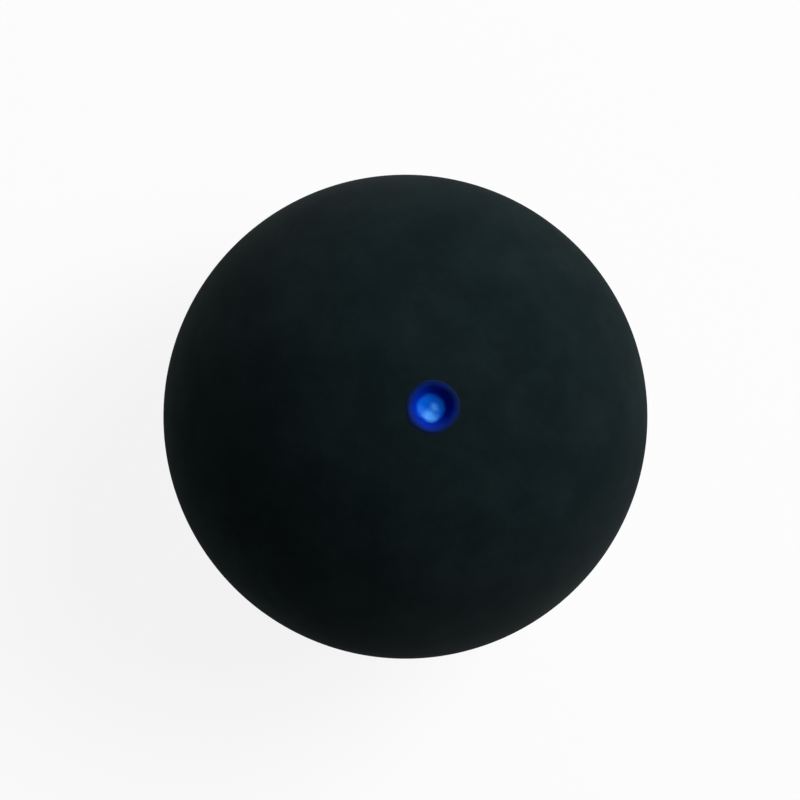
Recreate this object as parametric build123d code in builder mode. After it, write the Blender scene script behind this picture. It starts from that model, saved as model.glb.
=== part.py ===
from build123d import *
from math import asin, degrees, sqrt
import os

# Driving sizes in millimetres.
# The ball is a hollow sphere, moulded as two half shells that are cemented rim to rim.
ball_diameter = 40.0
wall_thickness = 5.2

# Seam: the rims are bevelled inside, rounded outside and held apart by the cured cement.
cement_thickness = 0.15
rim_bevel = 0.6
bead_height = 0.5
seam_round = 0.12
seam_recess = 0.08

# Dimple that is moulded into the pole of one half shell.
dimple_mouth_diameter = 3.5
dimple_floor_diameter = 2.5
dimple_depth = 1.45
dimple_dish = 0.2
lip_round = 0.4
floor_round = 0.2

# Paint that lines the dimple and laps past its lip, with an edge rounded over part of its thickness.
paint_thickness = 0.1
paint_lap = 0.12
paint_edge_share = 0.5

# Sections are drawn as distance from the polar axis and height above the seam.
ball_radius = ball_diameter / 2
cavity_radius = ball_radius - wall_thickness
rim_height = cement_thickness / 2
rim_angle = degrees(asin(rim_height / ball_radius))
bevel_foot = (cavity_radius + rim_bevel, rim_height)
bevel_height = rim_height + rim_bevel
bevel_top = (sqrt(cavity_radius**2 - bevel_height**2), bevel_height)
cement_edge = ball_radius - seam_recess
bead_crown = (cavity_radius - bead_height, 0)

mouth_radius = dimple_mouth_diameter / 2
mouth_edge = (mouth_radius, sqrt(ball_radius**2 - mouth_radius**2))
floor_radius = dimple_floor_diameter / 2
floor_centre = (0, ball_radius - dimple_depth)
floor_edge = (floor_radius, floor_centre[1] + dimple_dish)

above_seam = Plane.XZ
below_seam = Plane(origin=(0, 0, 0), x_dir=(1, 0, 0), z_dir=(0, 1, 0))

os.makedirs("parts", exist_ok=True)

# Wall of a half shell from its pole to its rim, the same for both halves.
with BuildSketch() as wall_section:
    with BuildLine():
        outer_arc = CenterArc((0, 0), ball_radius, rim_angle, 90 - rim_angle)
        rim = Polyline(outer_arc @ 0, bevel_foot, bevel_top)
        inner_arc = RadiusArc(rim @ 1, (0, cavity_radius), -cavity_radius)
        Line(inner_arc @ 1, outer_arc @ 1)
    make_face()
    rim_corners = wall_section.vertices().group_by(Axis.Y)[0]
    fillet(rim_corners.sort_by(Axis.X)[-1], seam_round)

# Half shell with the dimple in its pole.
with BuildPart() as dotted_half_shell:
    with BuildSketch(above_seam) as dotted_section:
        add(wall_section.sketch)
        with BuildLine():
            TangentArc(floor_centre, floor_edge, tangent=(1, 0))
            Polyline(floor_edge, mouth_edge, (mouth_radius, ball_radius), (0, ball_radius), floor_centre)
        make_face(mode=Mode.SUBTRACT)
        fillet(dotted_section.vertices().sort_by_distance(mouth_edge)[0], lip_round)
        fillet(dotted_section.vertices().sort_by_distance(floor_edge)[0], floor_round)
    revolve(axis=Axis.Z)

# Half shell without a dimple.
with BuildPart() as plain_half_shell:
    with BuildSketch(below_seam):
        add(wall_section.sketch)
    revolve(axis=Axis.Z)

# Cured cement: a web between the rims and a bead that fills their bevels and stands into the cavity.
with BuildPart() as seam_cement:
    with BuildSketch(above_seam):
        with BuildLine():
            web = Polyline((cement_edge, 0), (cement_edge, rim_height), bevel_foot, bevel_top)
            mirrored_web = mirror(web, about=Plane.XZ)
            ThreePointArc(bevel_top, bead_crown, mirrored_web @ 1)
        make_face()
    revolve(axis=Axis.Z)

# Paint: the dimple's skin, one coat thick, out to the edge of the dot.
lip_edge = dotted_section.sketch_local.vertices().sort_by(Axis.Y)[-1]
dot_radius = lip_edge.X + paint_lap
with BuildPart() as dot_paint:
    with BuildSketch(above_seam) as paint_section:
        add(dotted_section.sketch_local)
        offset(amount=paint_thickness)
        add(dotted_section.sketch_local, mode=Mode.SUBTRACT)
        with Locations(floor_centre):
            Rectangle(
                dot_radius,
                dimple_depth + paint_thickness,
                align=(Align.MIN, Align.MIN),
                mode=Mode.INTERSECT,
            )
        paint_rim = paint_section.vertices().group_by(Axis.X)[-1]
        fillet(paint_rim.sort_by(Axis.Y)[-1], paint_edge_share * paint_thickness)
    revolve(axis=Axis.Z)

dotted_half_shell.part.label = "dotted_half_shell"
plain_half_shell.part.label = "plain_half_shell"
seam_cement.part.label = "seam_cement"
dot_paint.part.label = "dot_paint"

export_step(dotted_half_shell.part, "parts/dotted_half_shell.step")
export_step(plain_half_shell.part, "parts/plain_half_shell.step")
export_step(seam_cement.part, "parts/seam_cement.step")
export_step(dot_paint.part, "parts/dot_paint.step")
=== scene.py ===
import bmesh
import bpy
import math
from mathutils import Matrix, Vector


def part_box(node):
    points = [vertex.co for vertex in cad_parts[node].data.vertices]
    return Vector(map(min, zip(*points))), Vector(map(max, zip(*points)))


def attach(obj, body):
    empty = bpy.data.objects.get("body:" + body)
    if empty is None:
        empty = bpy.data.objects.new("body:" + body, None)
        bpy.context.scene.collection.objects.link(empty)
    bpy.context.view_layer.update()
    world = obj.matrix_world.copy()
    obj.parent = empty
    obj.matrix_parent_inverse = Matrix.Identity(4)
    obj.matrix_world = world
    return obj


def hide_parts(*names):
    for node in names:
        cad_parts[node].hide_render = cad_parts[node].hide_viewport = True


mm = 0.001

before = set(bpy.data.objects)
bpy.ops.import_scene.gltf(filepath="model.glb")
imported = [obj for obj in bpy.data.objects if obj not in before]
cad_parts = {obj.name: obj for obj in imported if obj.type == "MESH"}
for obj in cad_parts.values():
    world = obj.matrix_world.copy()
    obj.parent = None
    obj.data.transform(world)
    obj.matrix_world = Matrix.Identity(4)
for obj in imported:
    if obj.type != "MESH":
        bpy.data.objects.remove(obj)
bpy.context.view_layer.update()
ballRadius = -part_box("plain_half_shell")[0].z
ballCentre = Vector((0, 0))
print("frame loaded, ball radius", round(ballRadius / mm, 2), "mm")


# Profile points: x is the distance from the dot's axis, y the height over the seam.

def polar(radius, degrees):
    return Vector((math.cos(math.radians(degrees)), math.sin(math.radians(degrees)))) * radius


def bearing(point):
    return math.degrees(math.atan2(point.y, point.x))


def arcPoints(centre, radius, startDegrees, endDegrees, steps):
    sweep = endDegrees - startDegrees
    return [centre + polar(radius, startDegrees + sweep * i / steps) for i in range(steps + 1)]


def roundedCorner(before, corner, after, radius, steps):
    inward = (corner - before).normalized()
    outward = (after - corner).normalized()
    turn = math.degrees(math.atan2(inward.cross(outward), inward.dot(outward)))
    side = math.copysign(1, turn)
    start = corner - inward * radius * math.tan(math.radians(abs(turn)) / 2)
    centre = start + Vector((-inward.y, inward.x)) * radius * side
    startDegrees = bearing(start - centre)
    return arcPoints(centre, radius, startDegrees, startDegrees + turn, steps)


def shiftedCorner(before, corner, after, lift):  # the corner of a coat of this thickness
    first = (corner - before).normalized()
    second = (after - corner).normalized()
    firstSide = Vector((-first.y, first.x))
    secondSide = Vector((-second.y, second.x))
    return corner + (firstSide + secondSide) * lift / (1 + firstSide.dot(secondSide))


# Modelling helpers

weldDistance = 0.0005 * mm


def startPiece(name, addPrimitive, **sizes):
    bpy.ops.object.select_all(action="DESELECT")
    addPrimitive(**sizes)
    piece = bpy.context.active_object
    piece.name = name
    piece.data.name = name
    bpy.ops.object.mode_set(mode="EDIT")
    bpy.ops.mesh.select_all(action="SELECT")
    return piece


def traceProfile(name, points):
    piece = startPiece(name, bpy.ops.mesh.primitive_plane_add, size=ballRadius)
    bpy.ops.mesh.merge(type="CENTER")  # the plane becomes the profile's first vertex
    bpy.ops.transform.translate(value=(points[0].x, 0, points[0].y))
    for last, point in zip(points, points[1:]):
        step = (point.x - last.x, 0, point.y - last.y)
        bpy.ops.mesh.extrude_region_move(TRANSFORM_OT_translate={"value": step})
    return piece


def spinProfile(steps):
    bpy.ops.mesh.select_all(action="SELECT")
    bpy.ops.mesh.spin(steps=steps, angle=math.tau, center=(0, 0, 0), axis=(0, 0, 1))
    bpy.ops.mesh.select_all(action="SELECT")
    bpy.ops.mesh.remove_doubles(threshold=weldDistance)
    bpy.ops.mesh.normals_make_consistent(inside=False)


def selectVerts(piece, test):  # shown vertices whose place passes the test
    bpy.ops.mesh.select_all(action="DESELECT")
    bpy.ops.mesh.select_mode(type="VERT")
    mesh = bmesh.from_edit_mesh(piece.data)
    for vert in mesh.verts:
        vert.select_set(not vert.hide and test(vert.co))
    mesh.select_flush(True)
    bmesh.update_edit_mesh(piece.data)


def selectNearest(piece, place):
    mesh = bmesh.from_edit_mesh(piece.data)
    shown = [vert.co for vert in mesh.verts if not vert.hide]
    nearest = min(shown, key=lambda co: (co - place).length).copy()
    selectVerts(piece, lambda co: co == nearest)


def pullSoft(value, reach):  # moves the selected vertices and, less and less, those around them
    bpy.ops.transform.translate(value=value, use_proportional_edit=True,
                                proportional_edit_falloff="SMOOTH", proportional_size=reach)


def finishPiece(piece, material, node, smoothDegrees=40):
    bpy.ops.object.mode_set(mode="OBJECT")
    bpy.ops.object.shade_smooth_by_angle(angle=math.radians(smoothDegrees))
    piece.data.materials.clear()
    piece.data.materials.append(material)
    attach(piece, "root")
    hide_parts(node)
    piece.data.calc_loop_triangles()
    print(piece.name, "made,", len(piece.data.loop_triangles), "triangles")


# Material helpers

def newMaterial(name):
    material = bpy.data.materials.new(name)
    material.use_nodes = True
    return material, material.node_tree.nodes["Principled BSDF"]


def addNode(material, kind, label, **settings):
    node = material.node_tree.nodes.new(kind)
    node.label = label
    for key, value in settings.items():
        setattr(node, key, value)
    return node


def wire(material, source, target):
    material.node_tree.links.new(source, target)


def noiseNode(material, label, coords, scale, detail, roughness=0.5):
    noise = addNode(material, "ShaderNodeTexNoise", label)
    noise.inputs["Scale"].default_value = scale
    noise.inputs["Detail"].default_value = detail
    noise.inputs["Roughness"].default_value = roughness
    wire(material, coords, noise.inputs["Vector"])
    return noise.outputs["Fac"]


def rangeNode(material, label, value, fromMin, fromMax, toMin, toMax):
    node = addNode(material, "ShaderNodeMapRange", label)
    node.inputs["From Min"].default_value = fromMin
    node.inputs["From Max"].default_value = fromMax
    node.inputs["To Min"].default_value = toMin
    node.inputs["To Max"].default_value = toMax
    wire(material, value, node.inputs["Value"])
    return node.outputs["Result"]


def mathNode(material, label, operation, first, second=None):
    node = addNode(material, "ShaderNodeMath", label, operation=operation)
    for socket, value in zip(node.inputs, (first, second)):
        if isinstance(value, (int, float)):
            socket.default_value = value
        elif value is not None:
            wire(material, value, socket)
    return node.outputs["Value"]


def axisDistance(material, label, coords, centre):  # distance from a line along Z
    shift = addNode(material, "ShaderNodeMapping", label)
    shift.inputs["Location"].default_value = (-centre[0], -centre[1], 0)
    shift.inputs["Scale"].default_value = (1, 1, 0)
    wire(material, coords, shift.inputs["Vector"])
    length = addNode(material, "ShaderNodeVectorMath", label, operation="LENGTH")
    wire(material, shift.outputs["Vector"], length.inputs[0])
    return length.outputs["Value"]


def mixColours(material, label, amount, first, second):
    node = addNode(material, "ShaderNodeMix", label, data_type="RGBA")
    wire(material, amount, node.inputs[0])
    for socket, value in zip(node.inputs[6:8], (first, second)):  # its two colour sockets
        if isinstance(value, tuple):
            socket.default_value = (*value, 1)
        else:
            wire(material, value, socket)
    return node.outputs[2]


def bumpNode(material, label, height, distance, strength, under=None):
    bump = addNode(material, "ShaderNodeBump", label)
    bump.inputs["Strength"].default_value = strength
    bump.inputs["Distance"].default_value = distance
    wire(material, height, bump.inputs["Height"])
    if under is not None:
        wire(material, under, bump.inputs["Normal"])
    return bump.outputs["Normal"]


# Rubber of the half shells. A range is the stretch of a noise over which its effect fades in.

rubberFinish = {
    "colour": (0.0053, 0.0108, 0.0119),
    "bloom": (0.0085, 0.0159, 0.0170),  # paler, slightly dusty areas
    "bloomScale": 190,
    "bloomRange": (0.4, 0.7),
    "grainScale": 5200,
    "grainRange": (0.3, 0.7),
    "grainDepth": 0.025 * mm,
    "grainStrength": 0.5,
    "roughness": (0.72, 0.84),
    "specular": 0.003,
    "sheen": 0.02,  # dust that shows where the surface turns away
    "sheenRoughness": 0.5,
    "buffed": (0.011, 0.0155, 0.016),  # where the seam was ground flush
    "buffedHeight": (0.7 * mm, 1.5 * mm),
    "buffStretch": (60, 60, 7000),
    "buffRange": (0.35, 0.7),
    "buffDepth": 0.01 * mm,
    "buffStrength": 0.6,
}


def shellRubber():
    look = rubberFinish
    material, shader = newMaterial("shellRubber")
    coords = addNode(material, "ShaderNodeTexCoord", "place").outputs["Object"]
    grain = noiseNode(material, "fine grain", coords, look["grainScale"], detail=3)
    bloom = noiseNode(material, "bloom", coords, look["bloomScale"], detail=6, roughness=0.68)
    bloomAmount = rangeNode(material, "bloom amount", bloom, *look["bloomRange"], 0, 1)
    rubber = mixColours(material, "bloomed rubber", bloomAmount, look["colour"], look["bloom"])

    # Buffing marks run round the ball beside the seam.
    stretch = addNode(material, "ShaderNodeMapping", "stretch round the ball")
    stretch.inputs["Scale"].default_value = look["buffStretch"]
    wire(material, coords, stretch.inputs["Vector"])
    marks = noiseNode(material, "buffing marks", stretch.outputs["Vector"], 1, detail=3)
    split = addNode(material, "ShaderNodeSeparateXYZ", "axes")
    wire(material, coords, split.inputs[0])
    height = mathNode(material, "height over the seam", "ABSOLUTE", split.outputs["Z"])
    band = rangeNode(material, "buffed band", height, *look["buffedHeight"], 1, 0)
    markAmount = rangeNode(material, "mark amount", marks, *look["buffRange"], 0, 1)
    buffed = mathNode(material, "buffed amount", "MULTIPLY", band, markAmount)
    colour = mixColours(material, "buffed at the seam", buffed, rubber, look["buffed"])
    wire(material, colour, shader.inputs["Base Color"])

    gloss = rangeNode(material, "gloss", grain, *look["grainRange"], *look["roughness"])
    wire(material, gloss, shader.inputs["Roughness"])
    grained = bumpNode(material, "grain height", grain, look["grainDepth"], look["grainStrength"])
    marked = bumpNode(material, "mark height", buffed, look["buffDepth"], look["buffStrength"], grained)
    wire(material, marked, shader.inputs["Normal"])
    shader.inputs["Specular IOR Level"].default_value = look["specular"]
    shader.inputs["Sheen Weight"].default_value = look["sheen"]
    shader.inputs["Sheen Roughness"].default_value = look["sheenRoughness"]
    return material


# Half shells

shell = {
    "wall": 5.2 * mm,
    "rimHeight": 0.075 * mm,  # half of the cement's thickness
    "rimBevel": 0.6 * mm,
    "seamRound": 0.12 * mm,
    "spinSteps": 256,
    "outerRows": 110,
    "innerRows": 36,
    "edgeRows": 8,
}
cavityRadius = ballRadius - shell["wall"]
bevelFoot = cavityRadius + shell["rimBevel"]
bevelHeight = shell["rimHeight"] + shell["rimBevel"]

dimple = {
    "mouthRadius": 1.75 * mm,
    "floorRadius": 1.25 * mm,
    "depth": 1.45 * mm,
    "dish": 0.2 * mm,
    "lipRound": 0.4 * mm,
    "floorRound": 0.2 * mm,
    "dishRows": 10,
    "cornerRows": 8,
}


def dimpleOutline(lift, floorRound):  # from the axis, along the floor and wall, to the end of the lip
    floorCentre = Vector((0, ballRadius - dimple["depth"]))
    floorEdge = floorCentre + Vector((dimple["floorRadius"], dimple["dish"]))
    dishRadius = (dimple["floorRadius"] ** 2 + dimple["dish"] ** 2) / (2 * dimple["dish"])
    dishCentre = floorCentre + Vector((0, dishRadius))
    dishSpan = math.degrees(math.asin(dimple["floorRadius"] / dishRadius))
    mouthDegrees = math.degrees(math.acos(dimple["mouthRadius"] / ballRadius))
    mouthEdge = polar(ballRadius, mouthDegrees)
    floorLine = floorEdge - polar(dimple["floorRadius"], dishSpan)
    ballLine = mouthEdge + polar(dimple["mouthRadius"], mouthDegrees - 90)
    floorCorner = shiftedCorner(floorLine, floorEdge, mouthEdge, lift)
    mouthCorner = shiftedCorner(floorEdge, mouthEdge, ballLine, lift)
    floorArc = roundedCorner(floorCorner + floorLine - floorEdge, floorCorner, mouthCorner, floorRound,
                             dimple["cornerRows"])
    lipArc = roundedCorner(floorCorner, mouthCorner, mouthCorner + ballLine - mouthEdge,
                           dimple["lipRound"] + lift, dimple["cornerRows"])
    dishEnd = math.degrees(math.asin(floorArc[0].x / (dishRadius - lift)))
    dish = arcPoints(dishCentre, dishRadius - lift, -90, -90 + dishEnd, dimple["dishRows"])
    return dish[:-1] + floorArc + lipArc


def outerWall(start, end):  # along the ball's outside, between two points on it
    return arcPoints(ballCentre, ballRadius, bearing(start), bearing(end), shell["outerRows"])


def rimAndCavity(side):  # round the rim's outer edge, over its bevel and along the cavity to the axis
    rimEdge = Vector((math.sqrt(ballRadius ** 2 - shell["rimHeight"] ** 2), side * shell["rimHeight"]))
    foot = Vector((bevelFoot, rimEdge.y))
    above = rimEdge + Vector((0, side * shell["wall"]))
    edge = roundedCorner(above, rimEdge, foot, shell["seamRound"], shell["edgeRows"])
    bevelDegrees = side * math.degrees(math.asin(bevelHeight / cavityRadius))
    cavity = arcPoints(ballCentre, cavityRadius, bevelDegrees, side * 90, shell["innerRows"])
    return edge + [foot] + cavity


def makeDottedShell(material):
    pit = dimpleOutline(0, dimple["floorRound"])
    rim = rimAndCavity(1)
    piece = traceProfile("dottedShell", pit + outerWall(pit[-1], rim[0])[1:-1] + rim)
    spinProfile(shell["spinSteps"])
    finishPiece(piece, material, "dotted_half_shell")


def makePlainShell(material):
    pole = Vector((0, -ballRadius))
    rim = rimAndCavity(-1)
    piece = traceProfile("plainShell", outerWall(pole, rim[0])[:-1] + rim)
    spinProfile(shell["spinSteps"])
    finishPiece(piece, material, "plain_half_shell")


# Cement in the seam

cement = {
    "recess": 0.08 * mm,
    "beadHeight": 0.5 * mm,
    "beadRows": 12,
    "colour": (0.010, 0.013, 0.013),
    "streak": (0.018, 0.020, 0.019),
    "smearScale": 700,
    "smearRange": (0.4, 0.65),
    "smearDepth": 0.03 * mm,
    "smearStrength": 0.5,
    "glossRange": (0.3, 0.7),
    "roughness": (0.5, 0.7),
    "specular": 0.04,
}


def curedCement():
    material, shader = newMaterial("curedCement")
    coords = addNode(material, "ShaderNodeTexCoord", "place").outputs["Object"]
    smear = noiseNode(material, "smears", coords, cement["smearScale"], detail=5)
    smearAmount = rangeNode(material, "smear amount", smear, *cement["smearRange"], 0, 1)
    colour = mixColours(material, "cement", smearAmount, cement["colour"], cement["streak"])
    wire(material, colour, shader.inputs["Base Color"])
    gloss = rangeNode(material, "gloss", smear, *cement["glossRange"], *cement["roughness"])
    wire(material, gloss, shader.inputs["Roughness"])
    normal = bumpNode(material, "smear height", smear, cement["smearDepth"], cement["smearStrength"])
    wire(material, normal, shader.inputs["Normal"])
    shader.inputs["Specular IOR Level"].default_value = cement["specular"]
    return material


def makeSeamCement(material):
    edge = ballRadius - cement["recess"]
    rim = shell["rimHeight"]
    bevelTop = Vector((math.sqrt(cavityRadius ** 2 - bevelHeight ** 2), bevelHeight))
    crown = cavityRadius - cement["beadHeight"]
    beadRise = bevelTop.x - crown
    beadRadius = (bevelHeight ** 2 + beadRise ** 2) / (2 * beadRise)
    beadCentre = Vector((crown + beadRadius, 0))
    beadDegrees = bearing(bevelTop - beadCentre)
    bead = arcPoints(beadCentre, beadRadius, beadDegrees, 360 - beadDegrees, cement["beadRows"])
    web = [Vector((edge, -rim)), Vector((edge, rim)), Vector((bevelFoot, rim))]
    points = web + bead + [Vector((bevelFoot, -rim)), web[0]]
    piece = traceProfile("seamCement", points)
    spinProfile(shell["spinSteps"])
    finishPiece(piece, material, "seam_cement")


# Paint in the dimple

paint = {
    "thickness": 0.05 * mm,
    "lap": 0.12 * mm,
    "lapRows": 4,
    "edgeThickness": 0.008 * mm,
    "poolRound": 0.25 * mm,
    "spinSteps": 160,
    # uneven edge: degrees round the dot, and how many mm the paint ran out there
    "runs": [(5, 0.03), (60, -0.04), (136, -0.06), (214, 0.11), (262, -0.03), (312, -0.07)],
    "runReach": 1.1 * mm,
    "poolRise": 0.05 * mm,  # the coat is thickest in the middle of the floor
    "poolTilt": 11,  # degrees, higher towards -X
    "poolReach": 1.3 * mm,
    # lumps that dried in the pool, in mm: place across the floor, height and reach
    "lumps": [(0.08, 0.02, 0.05, 0.35), (0.42, -0.38, 0.05, 0.4),
              (-0.5, -0.45, 0.05, 0.6), (-0.45, 0.5, 0.03, 0.5)],
    "floorColour": (0.0003, 0.120, 0.68),
    # paler blue of the painted highlight on the pool
    "paintedHighlightColour": (0.072, 0.360, 0.97),
    # paler spots that paint a highlight onto the pool: place across the floor, inner and outer reach in mm,
    # share of the highlight colour
    "paintedHighlightSpots": [(-0.10, -0.82, 0.3, 0.85, 1.0), (0.2, -0.02, 0.1, 0.5, 0.7)],
    "wallColour": (0.0003, 0.024, 0.38),
    "wallRing": (0.92 * mm, 1.24 * mm),  # distances from the axis over which the floor turns into wall
    "thinColour": (0.0034, 0.0115, 0.060),
    "thinRing": (1.38 * mm, 2.0 * mm),
    "blotchScale": 1500,
    "blotchRange": (0.3, 0.7),
    "blotchSway": 0.1 * mm,  # how far the blotches move the borders of the colours
    "blotchDepth": 0.03 * mm,
    "blotchStrength": 0.5,
    "poolRoughness": 0.34,
    "wallRoughness": 0.7,
    "specular": 0.04,
}


def bluePaint():
    material, shader = newMaterial("bluePaint")
    coords = addNode(material, "ShaderNodeTexCoord", "place").outputs["Object"]
    blotch = noiseNode(material, "blotches", coords, paint["blotchScale"], detail=3)
    reach = paint["blotchSway"]
    sway = rangeNode(material, "uneven border", blotch, *paint["blotchRange"], -reach, reach)

    radius = axisDistance(material, "from the axis", coords, (0, 0))
    uneven = mathNode(material, "uneven radius", "ADD", radius, sway)
    onWall = rangeNode(material, "wall", uneven, *paint["wallRing"], 0, 1)
    thin = rangeNode(material, "thin edge", uneven, *paint["thinRing"], 0, 1)

    # paler spots on the pool floor, a painted highlight
    paintedHighlight = 0
    for x, y, near, far, share in paint["paintedHighlightSpots"]:
        fromHighlightSpot = axisDistance(material, "from a painted highlight spot", coords, (x * mm, y * mm))
        unevenHighlightSpot = mathNode(material, "uneven painted highlight spot", "ADD", fromHighlightSpot, sway)
        highlightSpot = rangeNode(material, "highlightSpot", unevenHighlightSpot, near * mm, far * mm, share, 0)
        paintedHighlight = mathNode(material, "brightest painted highlight", "MAXIMUM", highlightSpot, paintedHighlight)

    pool = mixColours(material, "pool", paintedHighlight, paint["floorColour"], paint["paintedHighlightColour"])
    body = mixColours(material, "pool to wall", onWall, pool, paint["wallColour"])
    colour = mixColours(material, "thin at the edge", thin, body, paint["thinColour"])
    wire(material, colour, shader.inputs["Base Color"])
    gloss = rangeNode(material, "gloss", onWall, 0, 1, paint["poolRoughness"], paint["wallRoughness"])
    wire(material, gloss, shader.inputs["Roughness"])
    normal = bumpNode(material, "blotch height", blotch, paint["blotchDepth"], paint["blotchStrength"])
    wire(material, normal, shader.inputs["Normal"])
    shader.inputs["Specular IOR Level"].default_value = paint["specular"]
    return material


def lapThickness(row):  # the coat thins out across the lap
    return paint["thickness"] + (paint["edgeThickness"] - paint["thickness"]) * row / paint["lapRows"]


def makeDotPaint(material):
    bed = dimpleOutline(0, dimple["floorRound"])
    face = dimpleOutline(paint["thickness"], paint["poolRound"])
    lipDegrees = bearing(bed[-1])
    edgeDegrees = lipDegrees - math.degrees(paint["lap"] / ballRadius)
    lapBed = arcPoints(ballCentre, ballRadius, lipDegrees, edgeDegrees, paint["lapRows"])
    lapFace = [point * (1 + lapThickness(i) / ballRadius) for i, point in enumerate(lapBed)]
    piece = traceProfile("dotPaint", bed + lapBed[1:] + lapFace[:0:-1] + face[::-1])
    spinProfile(paint["spinSteps"])

    # The edge: only the lap moves.
    lipReach = bed[-1].x
    selectVerts(piece, lambda co: math.hypot(co.x, co.y) < lipReach)
    bpy.ops.mesh.hide(unselected=False)
    edge = lapBed[-1]
    for degrees, run in paint["runs"]:
        around = polar(1, degrees)
        selectNearest(piece, Vector((around.x * edge.x, around.y * edge.x, edge.y)))
        slope = polar(run * mm, edgeDegrees - 90)
        pullSoft((around.x * slope.x, around.y * slope.x, slope.y), paint["runReach"])
    bpy.ops.mesh.reveal(select=False)

    # The pool: the side on the rubber stays.
    bedReach = paint["thickness"] / 4

    def onBed(co):
        place = Vector((math.hypot(co.x, co.y), co.z))
        return any((place - point).length < bedReach for point in bed)

    selectVerts(piece, onBed)
    bpy.ops.mesh.hide(unselected=False)
    poolTop = Vector((0, 0, face[0].y))
    selectNearest(piece, poolTop)
    bpy.ops.transform.rotate(value=math.radians(paint["poolTilt"]), orient_axis="Y", center_override=poolTop,
                             use_proportional_edit=True, proportional_edit_falloff="SMOOTH",
                             proportional_size=paint["poolReach"])
    pullSoft((0, 0, paint["poolRise"]), paint["poolReach"])
    for x, y, rise, reach in paint["lumps"]:
        selectNearest(piece, Vector((x * mm, y * mm, poolTop.z)))
        pullSoft((0, 0, rise * mm), reach * mm)
    bpy.ops.mesh.reveal(select=False)
    finishPiece(piece, material, "dot_paint", smoothDegrees=70)


# Stage, light and camera

studio = {
    "floorRadius": 1.6,
    "floorSides": 96,
    "coveHeight": 0.6,
    "coveRound": 0.35,
    "coveRows": 12,
    "floorColour": (0.92, 0.92, 0.92),
    "floorRoughness": 0.9,
    "floorSpecular": 0.1,
    "floorGlow": 0.88,  # share of plain white in what the eye and reflections see
    # azimuth and elevation in degrees, power in watts
    "keyLamp": (30, 49, 9.6),
    "keySize": 0.7,
    "topLamp": (88, 12.5, 5.8),  # low and weak, it lightens the upper rim
    "topRadius": 0.15,
    "lampDistance": 0.9,
    "world": 0.008,
}


def paleFloor():
    material, shader = newMaterial("paleFloor")
    shader.inputs["Base Color"].default_value = (*studio["floorColour"], 1)
    shader.inputs["Roughness"].default_value = studio["floorRoughness"]
    shader.inputs["Specular IOR Level"].default_value = studio["floorSpecular"]
    ray = addNode(material, "ShaderNodeLightPath", "kind of ray").outputs
    seen = mathNode(material, "seen or mirrored", "ADD", ray["Is Camera Ray"], ray["Is Glossy Ray"])
    seen = mathNode(material, "or through glass", "ADD", seen, ray["Is Transmission Ray"])
    share = mathNode(material, "white share", "MULTIPLY", seen, studio["floorGlow"])
    white = addNode(material, "ShaderNodeEmission", "plain white")
    mixed = addNode(material, "ShaderNodeMixShader", "floor with its shadow")
    wire(material, share, mixed.inputs["Fac"])
    wire(material, shader.outputs["BSDF"], mixed.inputs[1])
    wire(material, white.outputs["Emission"], mixed.inputs[2])
    wire(material, mixed.outputs["Shader"], material.node_tree.nodes["Material Output"].inputs["Surface"])
    material.cycles.emission_sampling = "NONE"  # the white only shows, it lights nothing
    return material


def makeFloor(material):
    floor = startPiece("studioFloor", bpy.ops.mesh.primitive_circle_add, vertices=studio["floorSides"],
                       radius=studio["floorRadius"], fill_type="NGON", location=(0, 0, -ballRadius))
    bpy.ops.mesh.select_mode(type="EDGE")
    bpy.ops.mesh.extrude_edges_move(TRANSFORM_OT_translate={"value": (0, 0, studio["coveHeight"])})
    selectVerts(floor, lambda co: co.z < studio["coveHeight"] / 2)
    bpy.ops.mesh.bevel(offset=studio["coveRound"], segments=studio["coveRows"], affect="EDGES")
    bpy.ops.object.mode_set(mode="OBJECT")
    bpy.ops.object.transform_apply(location=True)
    bpy.ops.object.shade_smooth()
    floor.data.materials.append(material)


def makeLamp(name, kind):
    azimuth, elevation, power = studio[name]
    distance = studio["lampDistance"]
    ground = polar(distance * math.cos(math.radians(elevation)), azimuth)
    place = Vector((ground.x, ground.y, distance * math.sin(math.radians(elevation))))
    bpy.ops.object.light_add(type=kind, location=place)
    lamp = bpy.context.active_object
    lamp.name = name
    lamp.visible_camera = False
    lamp.data.energy = power
    lamp.rotation_euler = place.to_track_quat("Z", "Y").to_euler()
    return lamp.data


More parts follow.
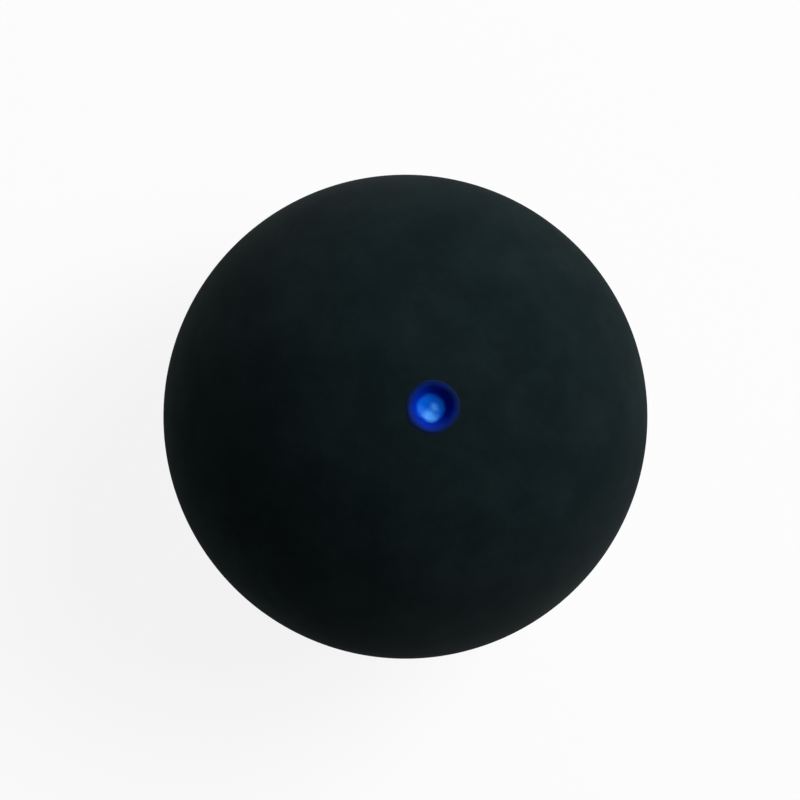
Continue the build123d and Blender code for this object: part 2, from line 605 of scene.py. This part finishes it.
def makeLamps():
    disc = makeLamp("keyLamp", "AREA")
    disc.shape = "DISK"
    disc.size = studio["keySize"]
    globe = makeLamp("topLamp", "POINT")  # lights the floor behind it too, so that no edge shows there
    globe.shadow_soft_size = studio["topRadius"]


def makeWorld():
    world = bpy.data.worlds.new("softSurround")
    world.use_nodes = True
    background = world.node_tree.nodes["Background"]
    background.inputs["Color"].default_value = (1, 1, 1, 1)
    background.inputs["Strength"].default_value = studio["world"]
    bpy.context.scene.world = world


photoView = {
    "frameSize": 800,  # pixels, as are the next two
    "ballAt": (405.4, 416.65),  # the ball's middle, from the left and from the top
    "ballReach": 242.1,  # the ball's radius
    "dotRight": 6.25,  # degrees that the dot stands to the right of the ball's middle
    "dotUp": 2.25,  # degrees that it stands above it
    "distance": 0.42,
    "sensorWidth": 36,
    "clipStart": 0.01,
}


def makeCamera():
    right = math.radians(photoView["dotRight"])
    up = math.radians(photoView["dotUp"])
    back = Vector((-math.sin(right) * math.cos(up), -math.sin(up), math.cos(right) * math.cos(up)))
    imageRight = Vector((math.cos(right), 0, math.sin(right)))
    imageUp = back.cross(imageRight)
    distance = photoView["distance"]
    ballSlope = math.tan(math.asin(ballRadius / distance))
    focalPixels = photoView["ballReach"] / ballSlope
    offset = [pixel - photoView["frameSize"] / 2 for pixel in photoView["ballAt"]]
    aim = (imageUp * offset[1] - imageRight * offset[0]) * distance / focalPixels
    place = back * distance
    backward = (place - aim).normalized()
    sideways = imageUp.cross(backward).normalized()
    bpy.ops.object.camera_add(location=place)
    camera = bpy.context.active_object
    camera.name = "photoCamera"
    camera.rotation_euler = Matrix((sideways, backward.cross(sideways), backward)).transposed().to_euler()
    camera.data.sensor_width = photoView["sensorWidth"]
    camera.data.lens = photoView["sensorWidth"] * focalPixels / photoView["frameSize"]
    camera.data.clip_start = photoView["clipStart"]
    bpy.context.scene.camera = camera


rubber = shellRubber()
makeDottedShell(rubber)
makePlainShell(rubber)
makeSeamCement(curedCement())
makeDotPaint(bluePaint())

makeFloor(paleFloor())
makeLamps()
makeWorld()
makeCamera()
bpy.context.scene.view_settings.view_transform = "Standard"
print("floor, lamps, world and camera set")
